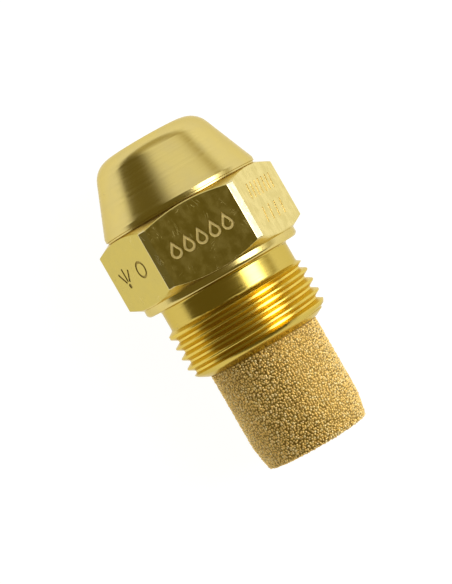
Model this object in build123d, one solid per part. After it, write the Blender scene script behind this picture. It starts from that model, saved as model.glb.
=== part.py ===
from build123d import *
import os
from math import cos, hypot, radians, sin, sqrt, tan

# Pressure-atomising oil burner nozzle with a sintered filter, in millimetres.
# Frame: X is the nozzle's axis and +X is the way the oil sprays. The origin is on the axis, in the
# plane of the shoulder behind the wrench hexagon. The nozzle lies on a flat of its hexagon, +Z up.
# An outline is a list of corners (x, radius) or (x, radius, rounding) that is turned about X.

CUT_PAST = 1.0  # how far a cutter runs past the face that it opens
RUN_IN = 0.5  # how far a joined solid runs into its neighbour

# Wrench hexagon, between the shoulder collar and the nose cone
ACROSS_FLATS = 16.0
HEX_CORNER_CHAMFER = 0.4  # cut off each side of a corner, all along the hexagon
HEX_EDGE_ROUNDING = 0.1
HEX_REAR_X = 0.75
HEX_FRONT_X = 7.7
REAR_CHAMFER_X = 1.55  # where the rear chamfer meets the corners
FRONT_CHAMFER_X = 6.9  # where the front chamfer meets the corners
CHAMFER_REAR_RADIUS = 7.85
CHAMFER_FRONT_RADIUS = 7.74
HEX_CORNER_RADIUS = ACROSS_FLATS / 2 / cos(radians(30))

# Nose cone
NOSE_X = 14.55
NOSE_BASE_X = 8.25
NOSE_BASE_RADIUS = 7.8
NOSE_HALF_ANGLE = 22.2
NOSE_ROUNDING = 2.3
NOSE_BAND_ROUNDING = 0.15
NOSE_GROOVE_RADIUS = 7.66
NOSE_GROOVE_WIDTH = 0.18
NOSE_LIP = 0.04
NOSE_LIP_ROUNDING = 0.03
SPRAY_MOUTH_RADIUS = 3.0
SPRAY_THROAT_RADIUS = 1.9

# Shoulder collar and neck
COLLAR_RADIUS = 7.9
COLLAR_ROUNDING = 0.4
NECK_RADIUS = 6.57
NECK_LENGTH = 2.05
NECK_ROUNDING = 0.25

# Outer thread, 9/16-24 UNEF, and the rounded sealing seat behind it
THREAD_PITCH = 25.4 / 24
THREAD_CREST_RADIUS = 7.1
THREAD_ROOT_RADIUS = 6.5
THREAD_ROOT_FLAT = 0.2
THREAD_CREST_FLAT = 0.1
THREAD_CREST_EDGE = 0.07
THREAD_OVERCUT = 0.04
THREAD_START_LENGTH = 0.35
SEAT_CORNER_X = -6.63
SEAT_ROUNDING = 1.3
SEAT_END_X = -7.35
SEAT_END_RADIUS = 5.75
SEAT_END_ROUNDING = 0.1
RUNOUT_X = -2.66  # where the thread's groove starts to run out, on the -Y side
RUNOUT_ANGLE = 46.0

# Inner thread, M8 x 1, which holds the lock screw and the filter stem
SCREW_PITCH = 1.0
SCREW_CREST_RADIUS = 3.97
SCREW_ROOT_RADIUS = 3.42
SCREW_CREST_FLAT = 0.12
SCREW_ROOT_FLAT = 0.2
SCREW_OVERCUT = 0.08
SCREW_CLEARANCE = 0.06
SCREW_END_CHAMFER = 0.5
MINOR_CLEARANCE = 0.2
MINOR_OVERCUT = 0.1
LEAD_IN_CLEARANCE = 0.25
INNER_THREAD_END_X = 5.45
INNER_GROOVE_X = 5.95  # where the thread's groove starts, in the relief
RELIEF_RADIUS = 4.15
RELIEF_END_X = 6.45
CHAMBER_RADIUS = 3.55

# Orifice disc, in a pocket behind the nose's mouth
DISC_RADIUS = 3.4
DISC_FRONT_X = 13.15
DISC_REAR_X = 10.35
DISC_EDGE_ROUNDING = 0.1
DISC_LEAD_IN = 0.2
DISC_CONE_RADIUS = 2.4
ORIFICE_RADIUS = 0.15
ORIFICE_START_X = 12.45
ORIFICE_END_X = 12.85
EXIT_RADIUS = 0.6
SWIRL_CHAMBER_RADIUS = 0.5

# Swirl cone, seated in the disc's inner cone
CONE_HALF_ANGLE = 45.0
SEAT_GAP = 0.03
CONE_BODY_RADIUS = 2.9
CONE_EDGE_ROUNDING = 0.1
CONE_STEM_RADIUS = 2.4
CONE_STEM_LENGTH = 1.2
CONE_STEM_ROUNDING = 0.2
CONE_STEP = 0.3
CONE_REAR_X = 6.25
CONE_TIP_RADIUS = 0.55
CONE_SLOTS = 4
CONE_SLOT_WIDTH = 0.35
CONE_SLOT_DEPTH = 0.3

# Lock screw
END_GAP = 0.02
LOCK_NOSE_RADIUS = 3.2
LOCK_NOSE_LENGTH = 1.0
LOCK_NOSE_ROUNDING = 0.2
LOCK_SHOULDER = 0.7
LOCK_END_WALL = 0.35
LOCK_REAR_X = 1.15
LOCK_BORE_RADIUS = 1.1
LOCK_HOLE_RADIUS = 0.5
LOCK_HOLES = 4
DRIVER_SLOT_WIDTH = 1.2
DRIVER_SLOT_DEPTH = 1.4

# Filter stem and sintered filter
STEM_FRONT_X = -3.25
STEM_NECK_X = -6.95
STEM_NECK_RADIUS = 3.4
STEM_REAR_X = -11.35
STEM_BORE_RADIUS = 2.4
SPIGOT_RADIUS = 3.9
SPIGOT_ROUNDING = 0.3
SPIGOT_START_X = -8.05
SPIGOT_CHAMFER = 0.5
FILTER_RADIUS = 5.58
FILTER_TAPER_X = -15.35
FILTER_END_X = -17.65
FILTER_END_RADIUS = 5.12
FILTER_END_WALL = 1.8
FILTER_RIM_ROUNDING = 0.15
FILTER_SHOULDER_ROUNDING = 8.0
FILTER_END_ROUNDING = 0.4
FILTER_FIT_GAP = 0.02

# Engraved marks on three flats: outlines of drops, a spray fan with a ring, and rows of ticks
MARK_DEPTH = 0.07
MARK_STROKE = 0.24
MARK_MIDDLE_X = (REAR_CHAMFER_X + FRONT_CHAMFER_X) / 2
DROP_HEIGHT = 1.7
DROP_RADIUS = 0.55
DROP_SPACING = 1.3
DROPS = 5
FAN_ACROSS = -1.6
FAN_ANGLES = (-35, 0, 35)
FAN_STROKE_LENGTH = 1.3
FAN_STROKE_MIDDLE = 1.1
FAN_DOT_ALONG = -0.8
RING_ACROSS = 1.6
RING_RADIUS = 0.85
TICK_HEIGHT = 1.5
TICK_SLANT = -12
TICK_ROW_ALONG = 1.25
UPPER_TICKS = 7
UPPER_TICK_SPACING = 0.8
LOWER_TICKS = 4
LOWER_TICK_SPACING = 1.25


def turned(*corners):
    """The solid of revolution about X of an outline, with the corners that ask for it rounded."""
    outline = make_face(Polyline(*[corner[:2] for corner in corners], close=True)).face()
    for x, radius, rounding in [corner for corner in corners if len(corner) == 3]:
        vertex = outline.vertices().sort_by_distance((x, radius, 0))[0]
        outline = outline.fillet_2d(rounding, [vertex])
    return revolve(outline, axis=Axis.X)


def drilled(radius, start_x, end_x):
    """A plain round cutter along X."""
    return turned((start_x, 0), (start_x, radius), (end_x, radius), (end_x, 0))


def coil(section, pitch, turns=1.0, flare=0.0):
    """A right-handed coil about X that starts at x = 0 on the +Y side.

    Its section's corners are (radius, offset along X). A flare, in degrees, opens the coil as a cone does.
    """
    lead = pitch / cos(radians(flare))
    helices = [
        Edge.make_helix(lead, pitch * turns, radius, center=(0, 0, offset), angle=flare)
        for radius, offset in section
    ]
    neighbours = helices[1:] + helices[:1]
    faces = [Face.make_surface_from_curves(a, b) for a, b in zip(helices, neighbours)]
    for end in (0, 1):
        faces.append(make_face(Polyline(*[helix @ end for helix in helices], close=True)).face())
    return Plane.YZ * Solid(Shell(faces))


def with_thread(blank, section, pitch, front_x, turns, clock=0.0):
    """The blank with a groove cut one turn at a time, backwards from front_x.

    The groove passes front_x at the angle clock, in degrees from +Y towards +Z.
    """
    turn = Rot(clock, 0, 0) * coil(section, pitch)
    for n in range(turns):
        blank = blank - Pos(front_x - (n + 1) * pitch, 0, 0) * turn
    return blank


def v_section(tip_radius, tip_flat, mouth_radius, mouth_width):
    """A symmetrical V-groove's section, from its narrow tip to its open mouth."""
    return [
        (tip_radius, -tip_flat / 2),
        (mouth_radius, -mouth_width / 2),
        (mouth_radius, mouth_width / 2),
        (tip_radius, tip_flat / 2),
    ]


def ring_of(cutter, count):
    """Copies of a cutter, evenly spaced about X."""
    return [Rot(360 / count * n, 0, 0) * cutter for n in range(count)]


def hexagon():
    """The wrench hexagon with narrow flats cut along its corners, both ends chamfered, its edges eased."""
    outline = chamfer(RegularPolygon(HEX_CORNER_RADIUS, 6).vertices(), HEX_CORNER_CHAMFER)
    outline = fillet(outline.vertices(), HEX_EDGE_ROUNDING)
    prism = extrude(Plane.YZ.offset(HEX_REAR_X) * outline, HEX_FRONT_X - HEX_REAR_X)
    envelope = turned(
        (HEX_REAR_X, 0),
        (HEX_REAR_X, CHAMFER_REAR_RADIUS),
        (REAR_CHAMFER_X, HEX_CORNER_RADIUS),
        (FRONT_CHAMFER_X, HEX_CORNER_RADIUS),
        (HEX_FRONT_X, CHAMFER_FRONT_RADIUS),
        (HEX_FRONT_X, 0),
    )
    chamfered = prism & envelope
    sharp = [edge for edge in chamfered.edges() if edge.geom_type in (GeomType.HYPERBOLA, GeomType.BSPLINE)]
    return fillet(sharp, HEX_EDGE_ROUNDING)


def nose():
    """The nose cone with its base band, down into the hexagon."""
    front_radius = NOSE_BASE_RADIUS - (NOSE_X - NOSE_BASE_X) * tan(radians(NOSE_HALF_ANGLE))
    band_x = HEX_FRONT_X + NOSE_GROOVE_WIDTH
    return turned(
        (HEX_FRONT_X - RUN_IN, 0),
        (HEX_FRONT_X - RUN_IN, NOSE_GROOVE_RADIUS),
        (band_x - NOSE_LIP, NOSE_GROOVE_RADIUS),
        (band_x, NOSE_BASE_RADIUS, NOSE_LIP_ROUNDING),
        (NOSE_BASE_X, NOSE_BASE_RADIUS, NOSE_BAND_ROUNDING),
        (NOSE_X, front_radius, NOSE_ROUNDING),
        (NOSE_X, 0),
    )


def shank():
    """The collar, the neck, the threaded end and its sealing seat, before the thread is cut."""
    return turned(
        (HEX_REAR_X + RUN_IN, 0),
        (HEX_REAR_X + RUN_IN, COLLAR_RADIUS),
        (0, COLLAR_RADIUS, COLLAR_ROUNDING),
        (0, NECK_RADIUS, NECK_ROUNDING),
        (-NECK_LENGTH, NECK_RADIUS, NECK_ROUNDING),
        (-NECK_LENGTH - THREAD_START_LENGTH, THREAD_CREST_RADIUS),
        (SEAT_CORNER_X, THREAD_CREST_RADIUS, SEAT_ROUNDING),
        (SEAT_END_X, SEAT_END_RADIUS, SEAT_END_ROUNDING),
        (SEAT_END_X, 0),
    )


def with_outer_thread(blank):
    """The 9/16-24 thread, with eased crests. Its groove runs out upwards over half a turn underneath."""
    half_mouth = (THREAD_PITCH - THREAD_CREST_FLAT) / 2
    flank = [
        (THREAD_ROOT_RADIUS, THREAD_ROOT_FLAT / 2),
        (THREAD_CREST_RADIUS - THREAD_CREST_EDGE, half_mouth - THREAD_CREST_EDGE),
        (THREAD_CREST_RADIUS + THREAD_OVERCUT, half_mouth + THREAD_OVERCUT),
    ]
    section = [(radius, -offset) for radius, offset in flank] + flank[::-1]
    turns = int((RUNOUT_X - SEAT_END_X) / THREAD_PITCH) + 2
    threaded = with_thread(blank, section, THREAD_PITCH, RUNOUT_X, turns, clock=180)
    runout = Pos(RUNOUT_X, 0, 0) * Rot(180, 0, 0) * coil(section, THREAD_PITCH, 0.5, RUNOUT_ANGLE)
    return threaded - runout


def bore():
    """The through bore, from the filter's end to the nose's mouth."""
    minor_radius = SCREW_ROOT_RADIUS + MINOR_CLEARANCE
    lead_in = SCREW_CREST_RADIUS + LEAD_IN_CLEARANCE
    return turned(
        (SEAT_END_X - CUT_PAST, 0),
        (SEAT_END_X - CUT_PAST, lead_in),
        (SEAT_END_X, lead_in),
        (SEAT_END_X + lead_in - minor_radius, minor_radius),
        (INNER_THREAD_END_X, minor_radius),
        (INNER_THREAD_END_X, RELIEF_RADIUS),
        (RELIEF_END_X, RELIEF_RADIUS),
        (RELIEF_END_X, CHAMBER_RADIUS),
        (DISC_REAR_X - DISC_LEAD_IN, CHAMBER_RADIUS),
        (DISC_REAR_X, DISC_RADIUS),
        (DISC_FRONT_X, DISC_RADIUS),
        (DISC_FRONT_X, SPRAY_THROAT_RADIUS),
        (NOSE_X, SPRAY_MOUTH_RADIUS),
        (NOSE_X + CUT_PAST, SPRAY_MOUTH_RADIUS),
        (NOSE_X + CUT_PAST, 0),
    )


def with_inner_thread(blank):
    """The M8 thread inside. Its grooves are the lock screw's and the stem's ridges, with clearance."""
    tip = SCREW_CREST_RADIUS + SCREW_CLEARANCE
    mouth = SCREW_ROOT_RADIUS + MINOR_OVERCUT
    slope = (SCREW_PITCH - SCREW_ROOT_FLAT - SCREW_CREST_FLAT) / (SCREW_CREST_RADIUS - SCREW_ROOT_RADIUS)
    tip_flat = SCREW_CREST_FLAT + SCREW_CLEARANCE
    section = v_section(tip, tip_flat, mouth, tip_flat + (tip - mouth) * slope)
    turns = int((INNER_GROOVE_X - SEAT_END_X) / SCREW_PITCH) + 2
    return with_thread(blank, section, SCREW_PITCH, INNER_GROOVE_X, turns)


def screw_thread(blank, front_x, rear_x):
    """A thread on a screw's blank that meshes with the inner thread, from rear_x to front_x."""
    mouth = SCREW_PITCH - SCREW_CREST_FLAT
    slope = (mouth - SCREW_ROOT_FLAT) / (SCREW_CREST_RADIUS - SCREW_ROOT_RADIUS)
    mouth += SCREW_OVERCUT * slope
    section = v_section(SCREW_ROOT_RADIUS, SCREW_ROOT_FLAT, SCREW_CREST_RADIUS + SCREW_OVERCUT, mouth)
    in_phase = INNER_GROOVE_X + SCREW_PITCH / 2
    start_x = in_phase - int((in_phase - front_x) / SCREW_PITCH) * SCREW_PITCH
    turns = int((front_x - rear_x) / SCREW_PITCH) + 2
    return with_thread(blank, section, SCREW_PITCH, start_x, turns)


def drop_outline():
    """A drop standing on its round end, drawn as a stroke, with its middle at the origin."""
    tip = DROP_HEIGHT - DROP_RADIUS
    touch_x = DROP_RADIUS * sqrt(1 - (DROP_RADIUS / tip) ** 2)
    touch_y = DROP_RADIUS**2 / tip
    peak = make_face(Polyline((-touch_x, touch_y), (0, tip), (touch_x, touch_y), close=True))
    drop = Circle(DROP_RADIUS) + peak
    hollow = scale(drop, by=1 - MARK_STROKE / DROP_RADIUS)
    return Pos(0, DROP_RADIUS - DROP_HEIGHT / 2) * (drop - hollow)


def spread(count, spacing):
    """Evenly spaced places on both sides of 0."""
    return [(n - (count - 1) / 2) * spacing for n in range(count)]


def row_of_drops():
    """Five drops, across the middle flat."""
    return [Pos(across, 0) * drop_outline() for across in spread(DROPS, DROP_SPACING)]


def spray_fan():
    """A fan of three strokes from a dot, with a ring beside it."""
    origin = Pos(FAN_ACROSS, FAN_DOT_ALONG)
    stroke = Pos(0, FAN_STROKE_MIDDLE) * Rectangle(MARK_STROKE, FAN_STROKE_LENGTH)
    strokes = [origin * Rot(0, 0, angle) * stroke for angle in FAN_ANGLES]
    ring = Pos(RING_ACROSS, 0) * (Circle(RING_RADIUS) - Circle(RING_RADIUS - MARK_STROKE))
    return [*strokes, origin * Circle(MARK_STROKE), ring]


def rows_of_ticks():
    """Two rows of slanted ticks, seven above and four below."""
    tick = Rot(0, 0, TICK_SLANT) * Rectangle(MARK_STROKE, TICK_HEIGHT)
    upper = [Pos(across, TICK_ROW_ALONG) * tick for across in spread(UPPER_TICKS, UPPER_TICK_SPACING)]
    lower = [Pos(across, -TICK_ROW_ALONG) * tick for across in spread(LOWER_TICKS, LOWER_TICK_SPACING)]
    return upper + lower


def engraving(marks, facing):
    """Cutters for marks on the flat that faces this angle, in degrees from +Y towards +Z."""
    normal = (0, cos(radians(facing)), sin(radians(facing)))
    middle = (MARK_MIDDLE_X, normal[1] * ACROSS_FLATS / 2, normal[2] * ACROSS_FLATS / 2)
    flat = Plane(origin=middle, x_dir=(0, -normal[2], normal[1]), z_dir=normal)
    return [extrude(flat * mark, MARK_DEPTH, both=True) for mark in marks]


def nozzle_body():
    """The brass body: nose, hexagon, shank, both threads, bore and marks."""
    blank = nose() + hexagon() + shank()
    body = with_inner_thread(with_outer_thread(blank) - bore())
    marks = engraving(row_of_drops(), 90) + engraving(spray_fan(), 30) + engraving(rows_of_ticks(), 150)
    return body - marks


def orifice_disc():
    """The steel disc: an inner cone, a small swirl chamber, the orifice and its exit flare."""
    blank = turned(
        (DISC_REAR_X, 0),
        (DISC_REAR_X, DISC_RADIUS, DISC_EDGE_ROUNDING),
        (DISC_FRONT_X, DISC_RADIUS),
        (DISC_FRONT_X, 0),
    )
    cone_depth = (DISC_CONE_RADIUS - SWIRL_CHAMBER_RADIUS) / tan(radians(CONE_HALF_ANGLE))
    passage = turned(
        (DISC_REAR_X - CUT_PAST, 0),
        (DISC_REAR_X - CUT_PAST, DISC_CONE_RADIUS),
        (DISC_REAR_X, DISC_CONE_RADIUS),
        (DISC_REAR_X + cone_depth, SWIRL_CHAMBER_RADIUS),
        (ORIFICE_START_X, SWIRL_CHAMBER_RADIUS),
        (ORIFICE_START_X, ORIFICE_RADIUS),
        (ORIFICE_END_X, ORIFICE_RADIUS),
        (DISC_FRONT_X, EXIT_RADIUS),
        (DISC_FRONT_X + CUT_PAST, EXIT_RADIUS),
        (DISC_FRONT_X + CUT_PAST, 0),
    )
    return blank - passage


def swirl_cone():
    """The steel cone whose tangential slots set the oil spinning."""
    shoulder_x = DISC_REAR_X - SEAT_GAP - (CONE_BODY_RADIUS - DISC_CONE_RADIUS)
    tip_x = shoulder_x + (CONE_BODY_RADIUS - CONE_TIP_RADIUS) / tan(radians(CONE_HALF_ANGLE))
    cone = turned(
        (CONE_REAR_X, 0),
        (CONE_REAR_X, CONE_STEM_RADIUS, CONE_STEM_ROUNDING),
        (CONE_REAR_X + CONE_STEM_LENGTH, CONE_STEM_RADIUS),
        (CONE_REAR_X + CONE_STEM_LENGTH + CONE_STEP, CONE_BODY_RADIUS, CONE_EDGE_ROUNDING),
        (shoulder_x, CONE_BODY_RADIUS),
        (tip_x, CONE_TIP_RADIUS),
        (tip_x, 0),
    )
    slant = hypot(tip_x - shoulder_x, CONE_BODY_RADIUS - CONE_TIP_RADIUS)
    slot = Box(slant + 2 * CUT_PAST, 2 * CONE_SLOT_DEPTH, CONE_SLOT_WIDTH)
    on_cone = Pos((shoulder_x + tip_x) / 2, (CONE_BODY_RADIUS + CONE_TIP_RADIUS) / 2, CONE_TIP_RADIUS)
    return cone - ring_of(on_cone * Rot(0, 0, -CONE_HALF_ANGLE) * slot, CONE_SLOTS)


def lock_screw():
    """The brass screw that holds the cone in its seat and lets oil past it."""
    front_x = CONE_REAR_X - END_GAP
    shoulder_x = front_x - LOCK_NOSE_LENGTH
    blank = turned(
        (front_x, 0),
        (front_x, LOCK_NOSE_RADIUS, LOCK_NOSE_ROUNDING),
        (shoulder_x, LOCK_NOSE_RADIUS),
        (shoulder_x - LOCK_SHOULDER, SCREW_CREST_RADIUS),
        (LOCK_REAR_X + SCREW_END_CHAMFER, SCREW_CREST_RADIUS),
        (LOCK_REAR_X, SCREW_CREST_RADIUS - SCREW_END_CHAMFER),
        (LOCK_REAR_X, 0),
    )
    screw = screw_thread(blank, shoulder_x, LOCK_REAR_X)
    screw -= drilled(LOCK_BORE_RADIUS, LOCK_REAR_X - CUT_PAST, front_x - LOCK_END_WALL)
    driver_slot = Box(2 * DRIVER_SLOT_DEPTH, 2 * SCREW_CREST_RADIUS + CUT_PAST, DRIVER_SLOT_WIDTH)
    screw -= Pos(LOCK_REAR_X, 0, 0) * driver_slot
    hole = Rot(90, 0, 0) * Cylinder(LOCK_HOLE_RADIUS, 2 * (LOCK_NOSE_RADIUS - LOCK_BORE_RADIUS / 2))
    hole_x = front_x - LOCK_HOLE_RADIUS - LOCK_END_WALL
    return screw - ring_of(Pos(hole_x, LOCK_NOSE_RADIUS, 0) * hole, LOCK_HOLES)


def filter_stem():
    """The brass tube that screws into the body and carries the filter on its spigot."""
    blank = turned(
        (STEM_FRONT_X, 0),
        (STEM_FRONT_X, SCREW_CREST_RADIUS - SCREW_END_CHAMFER),
        (STEM_FRONT_X - SCREW_END_CHAMFER, SCREW_CREST_RADIUS),
        (STEM_NECK_X + SCREW_END_CHAMFER, SCREW_CREST_RADIUS),
        (STEM_NECK_X, STEM_NECK_RADIUS),
        (SPIGOT_START_X + SPIGOT_CHAMFER, STEM_NECK_RADIUS),
        (SPIGOT_START_X, SPIGOT_RADIUS),
        (STEM_REAR_X, SPIGOT_RADIUS, SPIGOT_ROUNDING),
        (STEM_REAR_X, 0),
    )
    stem = screw_thread(blank, STEM_FRONT_X, STEM_NECK_X + SCREW_END_CHAMFER)
    return stem - drilled(STEM_BORE_RADIUS, STEM_REAR_X - CUT_PAST, STEM_FRONT_X + CUT_PAST)


def sintered_filter():
    """The sintered bronze cup, pushed over the stem's spigot up against the body."""
    cup = turned(
        (SEAT_END_X - END_GAP, 0),
        (SEAT_END_X - END_GAP, FILTER_RADIUS, FILTER_RIM_ROUNDING),
        (FILTER_TAPER_X, FILTER_RADIUS, FILTER_SHOULDER_ROUNDING),
        (FILTER_END_X, FILTER_END_RADIUS, FILTER_END_ROUNDING),
        (FILTER_END_X, 0),
    )
    return cup - drilled(SPIGOT_RADIUS + FILTER_FIT_GAP, FILTER_END_X + FILTER_END_WALL, 0)


os.makedirs("parts", exist_ok=True)
for make_part in (nozzle_body, orifice_disc, swirl_cone, lock_screw, filter_stem, sintered_filter):
    export_step(make_part(), f"parts/{make_part.__name__}.step")
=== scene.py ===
import itertools
import math
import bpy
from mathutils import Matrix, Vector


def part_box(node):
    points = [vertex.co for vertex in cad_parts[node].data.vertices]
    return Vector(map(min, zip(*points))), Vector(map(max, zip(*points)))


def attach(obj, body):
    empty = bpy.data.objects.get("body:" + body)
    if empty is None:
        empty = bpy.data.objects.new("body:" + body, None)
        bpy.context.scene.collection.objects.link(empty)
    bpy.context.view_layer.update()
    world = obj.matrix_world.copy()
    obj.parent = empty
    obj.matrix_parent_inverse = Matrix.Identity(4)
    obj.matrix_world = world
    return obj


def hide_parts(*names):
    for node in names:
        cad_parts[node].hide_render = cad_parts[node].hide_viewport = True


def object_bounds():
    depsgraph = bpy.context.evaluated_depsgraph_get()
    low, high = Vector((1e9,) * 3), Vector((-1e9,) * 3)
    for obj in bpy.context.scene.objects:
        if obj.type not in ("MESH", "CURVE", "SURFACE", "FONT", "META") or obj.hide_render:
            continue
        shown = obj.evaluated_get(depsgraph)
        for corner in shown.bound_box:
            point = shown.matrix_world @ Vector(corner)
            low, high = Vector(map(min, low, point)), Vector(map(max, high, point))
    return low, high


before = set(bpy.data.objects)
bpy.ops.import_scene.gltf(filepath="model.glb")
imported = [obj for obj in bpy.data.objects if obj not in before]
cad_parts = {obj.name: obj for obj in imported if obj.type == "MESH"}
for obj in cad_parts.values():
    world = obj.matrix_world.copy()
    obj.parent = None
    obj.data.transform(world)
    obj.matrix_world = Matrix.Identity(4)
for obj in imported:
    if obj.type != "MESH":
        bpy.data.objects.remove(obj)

from types import SimpleNamespace

import bmesh
import bpy
import numpy as np
from mathutils import Matrix, Vector

# An oil burner nozzle, in metres: +X is the spray's direction and +Z is up. It lies on a flat of its
# hexagon. Surface patterns are worked out in millimetres, in the nozzle's own coordinates.
CAD_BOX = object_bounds()
MM = 0.001

# ---------------------------------------------------------------- camera
VIEW_HEIGHT = 53.73 * MM  # what the picture takes in at the axis, from bottom to top
AIM = Vector((-1.39, 0.475, 0)) * MM
CAMERA_PLACE = Vector((2.25, 3.0, 200)) * MM
AXIS_TILT = math.radians(60.1)  # the axis leans this far from the picture's horizontal
SENSOR_HEIGHT = 36  # millimetres


def make_camera():
    """A camera above the nozzle, turned so that the nose points up and to the left."""
    camera = bpy.data.objects.new("camera", bpy.data.cameras.new("camera"))
    bpy.context.scene.collection.objects.link(camera)
    bpy.context.scene.camera = camera
    backwards = CAMERA_PLACE - AIM
    camera.data.sensor_width = SENSOR_HEIGHT  # Blender fits this width to the picture's longer side
    camera.data.lens = SENSOR_HEIGHT * backwards.length / VIEW_HEIGHT
    camera.data.clip_start = MM
    backwards.normalize()
    up = Vector((math.sin(AXIS_TILT), -math.cos(AXIS_TILT), 0))
    right = up.cross(backwards).normalized()
    turn = Matrix((right, backwards.cross(right), backwards)).transposed()
    camera.matrix_world = Matrix.Translation(CAMERA_PLACE) @ turn.to_4x4()


# ---------------------------------------------------------------- node helpers
class Shader:
    """A material's or world's node tree, with short calls for adding and wiring nodes."""

    def __init__(self, owner):
        owner.use_nodes = True
        self.tree = owner.node_tree
        self.tree.nodes.clear()

    def put(self, socket, value):
        """Links a socket, or sets its value; a colour may leave out its alpha."""
        if isinstance(value, bpy.types.NodeSocket):
            self.tree.links.new(value, socket)
        elif socket.type == "RGBA":
            socket.default_value = (*value[:3], 1)
        else:
            socket.default_value = value

    def node(self, kind, inputs, **settings):
        """Adds a node with these inputs and settings."""
        made = self.tree.nodes.new(kind)
        for name, value in settings.items():
            setattr(made, name, value)
        for name, value in inputs.items():
            self.put(made.inputs[name], value)
        return made

    def math(self, operation, a, b=0.0):
        return self.node("ShaderNodeMath", {0: a, 1: b}, operation=operation).outputs[0]

    def product(self, first, *others):
        for other in others:
            first = self.math("MULTIPLY", first, other)
        return first

    def ramp(self, value, low, high, to_low=0.0, to_high=1.0):
        """Eases from one value to another while the input runs from low to high."""
        inputs = {"Value": value, "From Min": low, "From Max": high, "To Min": to_low, "To Max": to_high}
        return self.node("ShaderNodeMapRange", inputs, interpolation_type="SMOOTHSTEP").outputs["Result"]

    def between(self, value, low, high, soft):
        """1 where the value lies between two limits, and 0 further outside them than soft."""
        return self.product(self.ramp(value, low - soft, low), self.ramp(value, high, high + soft, 1, 0))

    def mix(self, factor, a, b):
        """A colour from a to b."""
        mixer = self.node("ShaderNodeMix", {}, data_type="RGBA")
        for index, value in ((0, factor), (6, a), (7, b)):
            self.put(mixer.inputs[index], value)
        return mixer.outputs[2]

    def vector(self, x, y, z):
        return self.node("ShaderNodeCombineXYZ", {"X": x, "Y": y, "Z": z}).outputs[0]

    def split(self, vector):
        return self.node("ShaderNodeSeparateXYZ", {"Vector": vector}).outputs

    def place(self):
        """The point's place in the nozzle's own frame, in millimetres."""
        metres = self.node("ShaderNodeTexCoord", {}).outputs["Object"]
        scaled = self.node("ShaderNodeVectorMath", {0: metres, "Scale": 1 / MM}, operation="SCALE")
        return scaled.outputs[0]

    def radius(self, y, z):
        """The distance from the nozzle's axis."""
        return self.math("POWER", self.math("ADD", self.product(y, y), self.product(z, z)), 0.5)

    def noise(self, vector, scale, detail=2.0, roughness=0.5):
        inputs = {"Vector": vector, "Scale": scale, "Detail": detail, "Roughness": roughness}
        return self.node("ShaderNodeTexNoise", inputs).outputs["Fac"]

    def turning_rings(self, x, radius, scale):
        """Noise that changes only along the turned profile, like the rings that a lathe leaves."""
        inputs = {"W": self.math("ADD", x, radius), "Scale": scale, "Detail": 4.0}
        return self.node("ShaderNodeTexNoise", inputs, noise_dimensions="1D").outputs["Fac"]

    def cells(self, place, scale):
        """A random pattern of cells, with its outputs Distance and Color."""
        return self.node("ShaderNodeTexVoronoi", {"Vector": place, "Scale": scale}).outputs

    def bump(self, height, distance, under=None):
        """A normal that follows a height from 0 to 1, laid over the normal under it if one is given."""
        inputs = {"Height": height, "Distance": distance, "Strength": 1.0}
        if under:
            inputs["Normal"] = under
        return self.node("ShaderNodeBump", inputs).outputs["Normal"]

    def finish(self, **inputs):
        """Ends the material in a principled surface with these inputs."""
        named = {name.replace("_", " "): value for name, value in inputs.items()}
        surface = self.node("ShaderNodeBsdfPrincipled", named)
        self.node("ShaderNodeOutputMaterial", {"Surface": surface.outputs[0]})


# ---------------------------------------------------------------- surroundings
# Directions have length 1, and a pair is where a change starts and ends, along X, Z or the front's slant.
PALE = (0.86, 0.86, 0.83)
WHITE = (1.0, 1.0, 0.96)
CEILING_BROWN = (0.155, 0.127, 0.037)
OLIVE = (0.54, 0.48, 0.27)
HORIZON_TOP = (0.07, 0.12)
OLIVE_TOP = (0.18, 0.36)
OLIVE_RISE = 0.3  # the olive band's top is this much higher straight ahead
AHEAD = (0.6, 0.95)
FRONT_SLANT = 0.84  # how far the bright side turns from -Y towards +X
FRONT_EDGE = (0.22, 0.66)
SOFTBOX_TILT = math.radians(43)  # from straight overhead towards -Y
SOFTBOX_CORE = math.radians(9)
SOFTBOX_REACH = math.radians(20.5)
SOFTBOX_POWER = 8.0
FLOOR_REACH = 1.5  # metres
FLOOR_GREY = (0.12, 0.12, 0.12)
FLOOR_LIGHT = (1, 1, 0.99)
FLOOR_GLOW = 0.97


def make_world():
    """Pale at the horizon. Above it, brown, but ahead and on the -Y side an olive band and then white.

    A round softbox shines from high on the -Y side, brightest in its middle.
    """
    world = bpy.data.worlds.new("studio")
    bpy.context.scene.world = world
    sh = Shader(world)
    x, y, z = sh.split(sh.node("ShaderNodeTexCoord", {}).outputs["Generated"])
    front = sh.ramp(sh.math("SUBTRACT", sh.product(x, FRONT_SLANT), y), *FRONT_EDGE)
    olive_rise = sh.ramp(x, *AHEAD, 0, OLIVE_RISE)
    over_olive = sh.ramp(sh.math("SUBTRACT", z, olive_rise), *OLIVE_TOP)
    above = sh.mix(front, CEILING_BROWN, sh.mix(over_olive, OLIVE, WHITE))
    colour = sh.mix(sh.ramp(z, *HORIZON_TOP), PALE, above)
    upwards = sh.product(z, math.cos(SOFTBOX_TILT))
    sideways = sh.product(y, math.sin(SOFTBOX_TILT))
    towards_softbox = sh.math("SUBTRACT", upwards, sideways)
    softbox = sh.ramp(towards_softbox, math.cos(SOFTBOX_REACH), math.cos(SOFTBOX_CORE), 1, SOFTBOX_POWER)
    background = sh.node("ShaderNodeBackground", {"Color": colour, "Strength": softbox})
    sh.node("ShaderNodeOutputWorld", {"Surface": background.outputs[0]})


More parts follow.
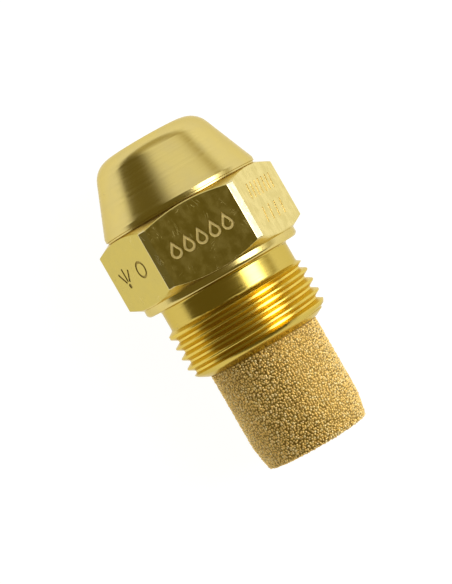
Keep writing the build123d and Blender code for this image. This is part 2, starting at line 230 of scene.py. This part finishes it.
def make_floor():
    """The white table that the nozzle lies on."""
    square = ((-1, -1), (1, -1), (1, 1), (-1, 1))
    corners = [(x * FLOOR_REACH, y * FLOOR_REACH, CAD_BOX[0][2]) for x, y in square]
    mesh = bpy.data.meshes.new("floor")
    mesh.from_pydata(corners, [], [(0, 1, 2, 3)])
    floor = bpy.data.objects.new("floor", mesh)
    bpy.context.scene.collection.objects.link(floor)
    material = bpy.data.materials.new("floor_white")
    Shader(material).finish(
        Base_Color=FLOOR_GREY, Roughness=0.9, Emission_Color=FLOOR_LIGHT, Emission_Strength=FLOOR_GLOW
    )
    mesh.materials.append(material)


# ---------------------------------------------------------------- turned metal
MIDDLE = (0.35, 0.65)  # noise runs from 0 to 1, and most of it lies between these
WIDE = (0.3, 0.7)
UPPER = (0.4, 0.7)
BRASS = (0.69, 0.55, 0.19)
INNER_WORN = (0.62, 0.46, 0.14)
STEEL = (0.56, 0.55, 0.53)
STEEL_WORN = (0.44, 0.43, 0.41)
TURNING_DEPTH = 0.002 * MM


def turned_metal(name, colour, worn, roughness):
    """Metal turned on a lathe, with fine rings; the roughness is a pair that the rings run between."""
    material = bpy.data.materials.new(name)
    sh = Shader(material)
    place = sh.place()
    x, y, z = sh.split(place)
    rings = sh.turning_rings(x, sh.radius(y, z), scale=8.0)
    patches = sh.noise(place, scale=0.9, detail=4.0)
    tint = sh.mix(sh.ramp(patches, *MIDDLE), colour, worn)
    rough = sh.math("ADD", sh.ramp(rings, *WIDE, *roughness), sh.ramp(patches, *UPPER, 0, 0.08))
    sh.finish(Base_Color=tint, Metallic=1.0, Roughness=rough, Normal=sh.bump(rings, TURNING_DEPTH))
    return material


# ---------------------------------------------------------------- the body's brass
BRASS_WORN = (0.66, 0.53, 0.20)
BRASS_PALE = (0.84, 0.69, 0.36)
SHANK_BRASS = (0.60, 0.45, 0.10)
THREAD_BRASS = (0.80, 0.60, 0.12)
FLAT_PAINTED_SHADE = (0.59, 0.47, 0.12)  # painted shade and light: the +Y flat gets this darker brass; the upper flats run from this to the next, a paler brass on the -Y side, as if lit from there
FLAT_PAINTED_LIGHT = (0.86, 0.73, 0.33)
FLAT_STAIN = (0.52, 0.42, 0.13)
MARK_PAINTED_SHADE = (0.46, 0.35, 0.11)  # the same painted shade and light for the marks
MARK_PAINTED_LIGHT = (1.0, 0.84, 0.44)
# painted highlight: pale, near-white brass on the narrow corner flats
CORNER_PAINTED_HIGHLIGHT = (0.74, 0.65, 0.38)
EDGE_TINT = (0.85, 0.78, 0.55)  # brass mirrors less than pure white at a glancing angle

# Places on the body, in millimetres. A RISE or FALL is where a mask starts and ends to rise or fall, by
# the distance from the axis square to the nearest flat.
FLAT_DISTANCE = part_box("nozzle_body")[1][2] / MM  # from the axis to a flat of the hexagon
FLAT_RISE = (FLAT_DISTANCE - 0.3, FLAT_DISTANCE - 0.22)
MARK_RISE = (FLAT_DISTANCE - 0.12, FLAT_DISTANCE - 0.1)
MARK_FALL = (FLAT_DISTANCE - 0.05, FLAT_DISTANCE - 0.025)
MARKED_REACH = 3.6  # the marks lie this far or less from a flat's middle line
MARKED_X = (1.9, 6.7)
HEXAGON_X = (1.0, 7.6)
CORNER_ACROSS = 4.2  # from a flat's middle line to the narrow flat along its corner
THREAD_X = (-6.3, -2.3)
THREAD_RADII = (6.5, 7.08)  # root and crest
SHOULDER_SOFT = 0.1  # the shank's colour comes in over this length behind the shoulder

SCRATCHES = ((64, 14.0, 0.012), (-22, 14.0, 0.012), (8, 20.0, 0.008))  # angle from X, stretch, width
FLAT_SEED_STEP = 7.3  # shifts the patterns from flat to flat
RING_DEPTH = 0.0016 * MM
SCRATCH_DEPTH = 0.003 * MM
SPECK_HEIGHT = 0.02 * MM


def flat_coordinates(sh, y, z, radius):
    """Distance from the axis square to the nearest flat, the place across that flat, and its number."""
    turn = sh.math("ARCTAN2", z, y)
    sector = sh.math("FLOOR", sh.product(turn, 3 / math.pi))
    angle = sh.math("SUBTRACT", turn, sh.product(sh.math("ADD", sector, 0.5), math.pi / 3))
    height = sh.product(radius, sh.math("COSINE", angle))
    across = sh.product(radius, sh.math("SINE", angle))
    return height, across, sector


def scratches(sh, x, across, seed, angle, stretch, width):
    """Long thin scratches at an angle, in degrees from X, as a mask; the seed shifts the pattern."""
    cos, sin = math.cos(math.radians(angle)), math.sin(math.radians(angle))
    along = sh.math("ADD", sh.product(x, cos), sh.product(across, sin))
    aside = sh.math("SUBTRACT", sh.product(across, cos), sh.product(x, sin))
    pattern = sh.vector(sh.product(along, 1 / stretch), aside, seed)
    stretched = sh.noise(pattern, scale=2.6, detail=3.0)
    off_line = sh.math("ABSOLUTE", sh.math("SUBTRACT", stretched, 0.5))
    patches = sh.noise(sh.vector(along, aside, seed), scale=0.7, detail=1.0)
    return sh.product(sh.ramp(off_line, 0, width, 1, 0), sh.ramp(patches, 0.58, 0.7))


def specks(sh, place, scale, size, share):
    """Small round specks, on this share of the cells of a random pattern."""
    cells = sh.cells(place, scale)
    chosen = sh.math("LESS_THAN", sh.split(cells["Color"])[0], share)
    return sh.product(sh.ramp(cells["Distance"], size * 0.5, size, 1, 0), chosen)


def body_regions(sh):
    """Where the point lies on the body, and masks for the regions of the body that it may be in."""
    place = sh.place()
    x, y, z = sh.split(place)
    radius = sh.radius(y, z)
    height, across, sector = flat_coordinates(sh, y, z, radius)
    aside = sh.math("ABSOLUTE", across)
    at = SimpleNamespace(place=place, x=x, radius=radius, across=across, sector=sector)
    at.hexagon = sh.product(sh.ramp(height, *FLAT_RISE), sh.between(x, *HEXAGON_X, soft=0.15))
    at.off_hexagon = sh.math("SUBTRACT", 1.0, at.hexagon)
    engraved = sh.product(sh.ramp(height, *MARK_FALL, 1, 0), sh.ramp(height, *MARK_RISE))
    near_middle = sh.ramp(aside, MARKED_REACH - 0.1, MARKED_REACH, 1, 0)
    at.marks = sh.product(engraved, near_middle, sh.between(x, *MARKED_X, soft=0.05))
    at.corners = sh.product(at.hexagon, sh.ramp(aside, CORNER_ACROSS - 0.1, CORNER_ACROSS + 0.05))
    at.thread = sh.product(sh.between(x, *THREAD_X, soft=0.3), sh.ramp(radius, *THREAD_RADII, 1, 0.7))
    at.shank = sh.ramp(x, -SHOULDER_SOFT, 0, 1, 0)
    at.tint = sh.ramp(sector, 0, 2)  # painted light and shade by side: 0 on the +Y side and underneath, 1 on the upper -Y flat
    return at


def body_patterns(sh, at):
    """The patterns in the brass: each is a mask or a noise."""
    seed = sh.product(at.sector, FLAT_SEED_STEP)
    scratched = 0.0
    for angle, stretch, width in SCRATCHES:
        lines = scratches(sh, at.x, at.across, seed, angle, stretch, width)
        scratched = sh.math("MAXIMUM", scratched, lines)
    mottling = sh.vector(sh.product(at.x, 0.8), at.across, seed)
    streaks = sh.vector(sh.product(at.x, 0.08), at.across, seed)
    return SimpleNamespace(
        scratched=sh.product(scratched, at.hexagon),
        mottled=sh.noise(mottling, scale=1.1, detail=6.0, roughness=0.55),
        drawn=sh.noise(streaks, scale=5.0, detail=4.0, roughness=0.6),
        rings=sh.turning_rings(at.x, at.radius, scale=7.0),
        dust=specks(sh, at.place, scale=1.1, size=0.08, share=0.12),
        patches=sh.noise(at.place, scale=0.45, detail=3.0),
    )


def body_colour(sh, at, pattern):
    """Brass with worn patches, and other colours laid over it region by region, among them painted light
    and shade on the flats and a painted highlight on the corners.
    """
    in_mottling = sh.ramp(pattern.mottled, 0.38, 0.62, 0.3, 0)
    in_streaks = sh.ramp(pattern.drawn, 0.35, 0.6, 0.12, 0)
    stain = sh.math("ADD", in_mottling, in_streaks)
    layers = (
        (at.shank, SHANK_BRASS),
        (at.thread, THREAD_BRASS),
        # painted light and shade: darker brass on the +Y flat, paler brass on the upper -Y flat
        (sh.product(at.hexagon, 0.9), sh.mix(at.tint, FLAT_PAINTED_SHADE, FLAT_PAINTED_LIGHT)),
        (sh.product(at.hexagon, stain), FLAT_STAIN),
        # painted highlight on the narrow corner flats
        (at.corners, CORNER_PAINTED_HIGHLIGHT),
        (sh.product(pattern.scratched, 0.25), BRASS_PALE),
        (sh.product(pattern.dust, 0.4), BRASS_PALE),
        # painted light and shade on the marks too, darker on the +Y side and paler on the -Y side
        (sh.product(at.marks, 0.85), sh.mix(at.tint, MARK_PAINTED_SHADE, MARK_PAINTED_LIGHT)),
    )
    colour = sh.mix(sh.ramp(pattern.patches, *MIDDLE), BRASS, BRASS_WORN)
    for mask, layer in layers:
        colour = sh.mix(mask, colour, layer)
    return colour


def body_roughness(sh, at, pattern):
    """It follows the mottling on the flats and the rings elsewhere; flaws and marks are rougher."""
    in_rings = sh.ramp(pattern.rings, *WIDE, 0.17, 0.25)
    turned = sh.math("ADD", in_rings, sh.product(at.thread, 0.08))
    drawn = sh.ramp(pattern.mottled, *MIDDLE, 0.12, 0.24)
    smooth = sh.math("ADD", sh.product(turned, at.off_hexagon), sh.product(drawn, at.hexagon))
    flaws = sh.math("MAXIMUM", sh.product(pattern.scratched, 0.1), sh.product(pattern.dust, 0.2))
    return sh.math("ADD", smooth, sh.math("MAXIMUM", flaws, sh.product(at.marks, 0.4)))


def body_normal(sh, at, pattern):
    """Turning rings off the hexagon, scratched and uneven flats, and dust and coarse marks on top."""
    rings = sh.bump(sh.product(pattern.rings, at.off_hexagon), RING_DEPTH)
    uneven = sh.math("ADD", sh.product(pattern.mottled, 0.08), sh.product(pattern.drawn, 0.05))
    scratched = sh.bump(sh.math("SUBTRACT", uneven, pattern.scratched), SCRATCH_DEPTH, under=rings)
    coarse_marks = sh.product(at.marks, sh.noise(at.place, scale=9.0))
    return sh.bump(sh.math("MAXIMUM", pattern.dust, coarse_marks), SPECK_HEIGHT, under=scratched)


def body_brass():
    """Drawn brass on the hexagon's flats, turned brass elsewhere, deeper in colour on the shank."""
    material = bpy.data.materials.new("body_brass")
    sh = Shader(material)
    at = body_regions(sh)
    pattern = body_patterns(sh, at)
    sh.finish(
        Base_Color=body_colour(sh, at, pattern),
        Metallic=1.0,
        Roughness=body_roughness(sh, at, pattern),
        Specular_Tint=EDGE_TINT,
        Normal=body_normal(sh, at, pattern),
    )
    return material


# ---------------------------------------------------------------- sintered bronze
BRONZE = (0.96, 0.70, 0.24)
BRONZE_PALE = (1.0, 0.85, 0.48)
BRONZE_DARK = (0.76, 0.52, 0.16)
# painted shade: the core's darker bronze shows between the grains and in the bore
CORE_PAINTED_SHADE = (0.58, 0.40, 0.12)
CORE_PAINTED_DEEP_SHADE = (0.34, 0.22, 0.06)
PIT_DEPTH = 0.01 * MM
CORE_GRAIN_HEIGHT = 0.08 * MM


def sintered_bronze():
    """Grains of slightly different bronzes, with a dull, finely pitted skin."""
    material = bpy.data.materials.new("sintered_bronze")
    sh = Shader(material)
    shade = sh.node("ShaderNodeAttribute", {}, attribute_name="grain").outputs["Fac"]
    place = sh.place()
    glints = sh.ramp(sh.noise(place, scale=5.0, detail=4.0), *UPPER, 0, 0.4)
    colour = sh.mix(sh.ramp(shade, 0.0, 0.45), BRONZE_DARK, BRONZE)
    colour = sh.mix(sh.ramp(shade, 0.6, 1.0), colour, BRONZE_PALE)
    colour = sh.mix(glints, colour, BRONZE_PALE)
    uneven = sh.ramp(sh.noise(place, scale=9.0), *UPPER, 0, 0.1)
    roughness = sh.math("ADD", sh.ramp(shade, 0, 1, 0.5, 0.6), uneven)
    pits = sh.bump(sh.noise(place, scale=16.0, detail=3.0), PIT_DEPTH)
    sh.finish(Base_Color=colour, Metallic=1.0, Roughness=roughness, Normal=pits)
    return material


def painted_shade_core_bronze():
    """Darker bronze as painted shade, seen between the outer grains and on the pressed wall of the bore;
    its cells darken towards their edges, painted shade between painted grains.
    """
    material = bpy.data.materials.new("painted_shade_core_bronze")
    sh = Shader(material)
    place = sh.place()
    grains = sh.cells(place, scale=4.5)["Distance"]
    # painted shade, darker towards the cells' edges
    colour = sh.mix(sh.ramp(grains, 0.2, 0.6), CORE_PAINTED_SHADE, CORE_PAINTED_DEEP_SHADE)
    roughness = sh.ramp(sh.noise(place, scale=6.0), *MIDDLE, 0.5, 0.65)
    normal = sh.bump(grains, -CORE_GRAIN_HEIGHT)
    sh.finish(Base_Color=colour, Metallic=1.0, Roughness=roughness, Normal=normal)
    return material


# ---------------------------------------------------------------- the sintered filter
FILTER_BORE = 3.92 * MM
FILTER_END_WALL = 1.8 * MM
FILTER_END_RADIUS = 5.12 * MM
FILTER_TAPER = 2.3 * MM  # length of the tapered end
FILTER_SHOULDER = 0.85 * MM  # the rounding where the taper starts reaches this far to each side
FILTER_EDGE = 0.32 * MM
CORE_DEPTH = 0.12 * MM
TURN_STEPS = 96
CORNER_STEPS = 8
SHARP_ANGLE = math.radians(35)

GRAIN_SEED = 5
GRAIN_RADIUS = 0.15 * MM
GRAIN_SIZES = (0.8, 1.0)  # times that radius
GRAIN_STRETCH = (0.86, 1.06)
GRAIN_SPACING = 0.26 * MM
ROW_SPACING = GRAIN_SPACING * 0.87
GRAIN_NUDGE = np.array([[0.3], [0.3], [0.2]]) * GRAIN_SPACING  # around, along and inwards, at most
END_GRAINS_RADIUS = FILTER_END_RADIUS - 2.2 * GRAIN_RADIUS  # nearer the axis, they are the end's piece


def rounded(before, corner, after, reach):
    """A corner replaced by a short curve that starts and ends a reach away from it."""
    towards_before = np.subtract(before, corner) / math.dist(before, corner)
    towards_after = np.subtract(after, corner) / math.dist(after, corner)
    curve = []
    for n in range(CORNER_STEPS + 1):
        t = n / CORNER_STEPS
        curve.append(np.array(corner) + reach * ((1 - t) ** 2 * towards_before + t**2 * towards_after))
    return curve


def cup_outline():
    """The cup's outside as points (x, radius), from its rim to the middle of its closed end."""
    low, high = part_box("sintered_filter")
    rim = (high[0], high[1])
    shoulder = (low[0] + FILTER_TAPER, high[1])
    edge = (low[0], FILTER_END_RADIUS)
    middle = (low[0], 0)
    round_shoulder = rounded(rim, shoulder, edge, FILTER_SHOULDER)
    round_edge = rounded(shoulder, edge, middle, FILTER_EDGE)
    return np.array([rim, *round_shoulder, *round_edge, middle])


def inset(outline, depth):
    """The outline moved inwards, square to itself; its ends stay at the rim and on the axis."""
    run = np.gradient(outline, axis=0)
    run /= np.linalg.norm(run, axis=1, keepdims=True)
    moved = outline + depth * np.column_stack((-run[:, 1], run[:, 0]))
    moved[0, 0], moved[-1, 1] = outline[0, 0], 0
    return moved


def grain_ring(random, x, radius, rim_x, end_x):
    """The centres of one ring of grains, nudged at random around, along and inwards."""
    count = max(1, round(2 * math.pi * radius / GRAIN_SPACING))
    around, along, inwards = random.uniform(-1, 1, (3, count)) * GRAIN_NUDGE
    inwards = np.abs(inwards)
    angles = (np.arange(count) + random.uniform()) * 2 * math.pi / count
    angles += around / max(radius, GRAIN_SPACING)
    on_side = min(1, max(0, (x - end_x) / GRAIN_SPACING))  # 0 on the closed end, where inwards is +X
    ring_x = np.minimum(x + along * on_side, rim_x) + inwards * (1 - on_side)
    ring_radius = np.maximum(radius - inwards * on_side, 0)
    return np.column_stack((ring_x, ring_radius * np.cos(angles), ring_radius * np.sin(angles)))


def scatter_grains(random):
    """Centres and radii of the grains just under the cup's outside, in uneven rings."""
    seat = inset(cup_outline(), GRAIN_RADIUS)
    seat[0, 0] -= GRAIN_RADIUS  # no grain stands out of the rim
    lengths = np.concatenate(([0], np.cumsum(np.linalg.norm(np.diff(seat, axis=0), axis=1))))
    centres, radii = [], []
    for distance in np.arange(0, lengths[-1], ROW_SPACING):
        x, radius = (np.interp(distance, lengths, column) for column in seat.T)
        centres.append(grain_ring(random, x, radius, seat[0, 0], seat[-1, 0]))
        radii.append(GRAIN_RADIUS * random.uniform(*GRAIN_SIZES, len(centres[-1])))
    return np.concatenate(centres), np.concatenate(radii)


def grain_shape():
    """The corners and triangles of a round grain of radius 1: an octahedron with its sides divided."""
    shape = bmesh.new()
    for x, y, z in itertools.product((-1, 0, 1), repeat=3):
        if 1 <= abs(x) + abs(y) + abs(z) <= 2:
            shape.verts.new(Vector((x, y, z)).normalized())
    bmesh.ops.convex_hull(shape, input=shape.verts)
    bmesh.ops.recalc_face_normals(shape, faces=shape.faces)
    bmesh.ops.triangulate(shape, faces=shape.faces)
    shape.verts.index_update()
    corners = np.array([vertex.co for vertex in shape.verts])
    faces = np.array([[vertex.index for vertex in face.verts] for face in shape.faces])
    shape.free()
    return corners, faces


def random_turns(random, count):
    """Rotation matrices, one for each grain."""
    columns = np.linalg.qr(random.normal(size=(count, 3, 3)))[0]
    return columns * np.sign(np.linalg.det(columns))[:, None, None]


def make_grains(name, centres, radii, material, random):
    """One piece of many closed grains, each a little out of round."""
    corners, faces = grain_shape()
    stretch = random.uniform(*GRAIN_STRETCH, (len(centres), 1, 3))
    turned = (corners * stretch) @ random_turns(random, len(centres))
    vertices = centres[:, None, :] + radii[:, None, None] * turned
    grain_faces = faces[None] + len(corners) * np.arange(len(centres))[:, None, None]
    mesh = bpy.data.meshes.new(name)
    mesh.from_pydata(vertices.reshape(-1, 3).tolist(), [], grain_faces.reshape(-1, 3).tolist())
    mesh.shade_smooth()
    shade = mesh.attributes.new("grain", "FLOAT", "POINT")
    shade.data.foreach_set("value", np.repeat(random.uniform(0, 1, len(centres)), len(corners)))
    add_filter_piece(name, mesh, material)


def turned_mesh(name, outline):
    """A closed mesh turned about X from an outline that starts and ends on the axis."""
    angles = np.arange(TURN_STEPS) * 2 * math.pi / TURN_STEPS
    middle = np.array(outline[1:-1])
    x, radius = middle[:, 0, None], middle[:, 1, None]
    rings = np.broadcast_arrays(x, radius * np.cos(angles), radius * np.sin(angles))
    rings = np.stack(rings, axis=-1)
    tips = [(outline[0][0], 0, 0), (outline[-1][0], 0, 0)]
    first_tip = rings.shape[0] * TURN_STEPS
    index = np.arange(first_tip).reshape(-1, TURN_STEPS)
    after = np.roll(index, -1, axis=1)
    faces = np.stack((index[:-1], after[:-1], after[1:], index[1:]), axis=-1).reshape(-1, 4).tolist()
    faces += [(first_tip, b, a) for a, b in zip(index[0].tolist(), after[0].tolist())]
    faces += [(first_tip + 1, a, b) for a, b in zip(index[-1].tolist(), after[-1].tolist())]
    mesh = bpy.data.meshes.new(name)
    mesh.from_pydata([*rings.reshape(-1, 3).tolist(), *tips], [], faces)
    mesh.shade_smooth()
    mesh.set_sharp_from_angle(angle=SHARP_ANGLE)
    return mesh


def add_filter_piece(name, mesh, material):
    """Puts a piece of the filter in the scene, in place of the plain cup."""
    mesh.materials.append(material)
    piece = bpy.data.objects.new(name, mesh)
    bpy.context.scene.collection.objects.link(piece)
    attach(piece, "filter")
    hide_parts("sintered_filter")


def make_filter(core_material):
    """The sintered cup: a core with its bore, and the grains fused all over its outside."""
    random = np.random.default_rng(GRAIN_SEED)
    bronze = sintered_bronze()
    centres, radii = scatter_grains(random)
    on_end = np.hypot(centres[:, 1], centres[:, 2]) < END_GRAINS_RADIUS
    make_grains("filter_side_grains", centres[~on_end], radii[~on_end], bronze, random)
    make_grains("filter_end_grains", centres[on_end], radii[on_end], bronze, random)
    low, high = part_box("sintered_filter")
    outside = inset(cup_outline(), CORE_DEPTH)[::-1].tolist()
    bottom_x = low[0] + FILTER_END_WALL
    bore = [(high[0], FILTER_BORE), (bottom_x, FILTER_BORE), (bottom_x, 0)]
    add_filter_piece("filter_core", turned_mesh("filter_core", [*outside, *bore]), core_material)


# ---------------------------------------------------------------- the nozzle
def dress(material, *nodes):
    """Gives CAD nodes their material."""
    for node in nodes:
        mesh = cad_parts[node].data
        mesh.materials.clear()
        mesh.materials.append(material)


make_camera()
make_world()
make_floor()

core = painted_shade_core_bronze()
dress(body_brass(), "nozzle_body")
dress(turned_metal("inner_brass", BRASS, INNER_WORN, (0.16, 0.26)), "lock_screw", "filter_stem")
dress(turned_metal("steel", STEEL, STEEL_WORN, (0.18, 0.3)), "orifice_disc", "swirl_cone")
dress(core, "sintered_filter")
make_filter(core)

bpy.context.scene.view_settings.view_transform = "Standard"
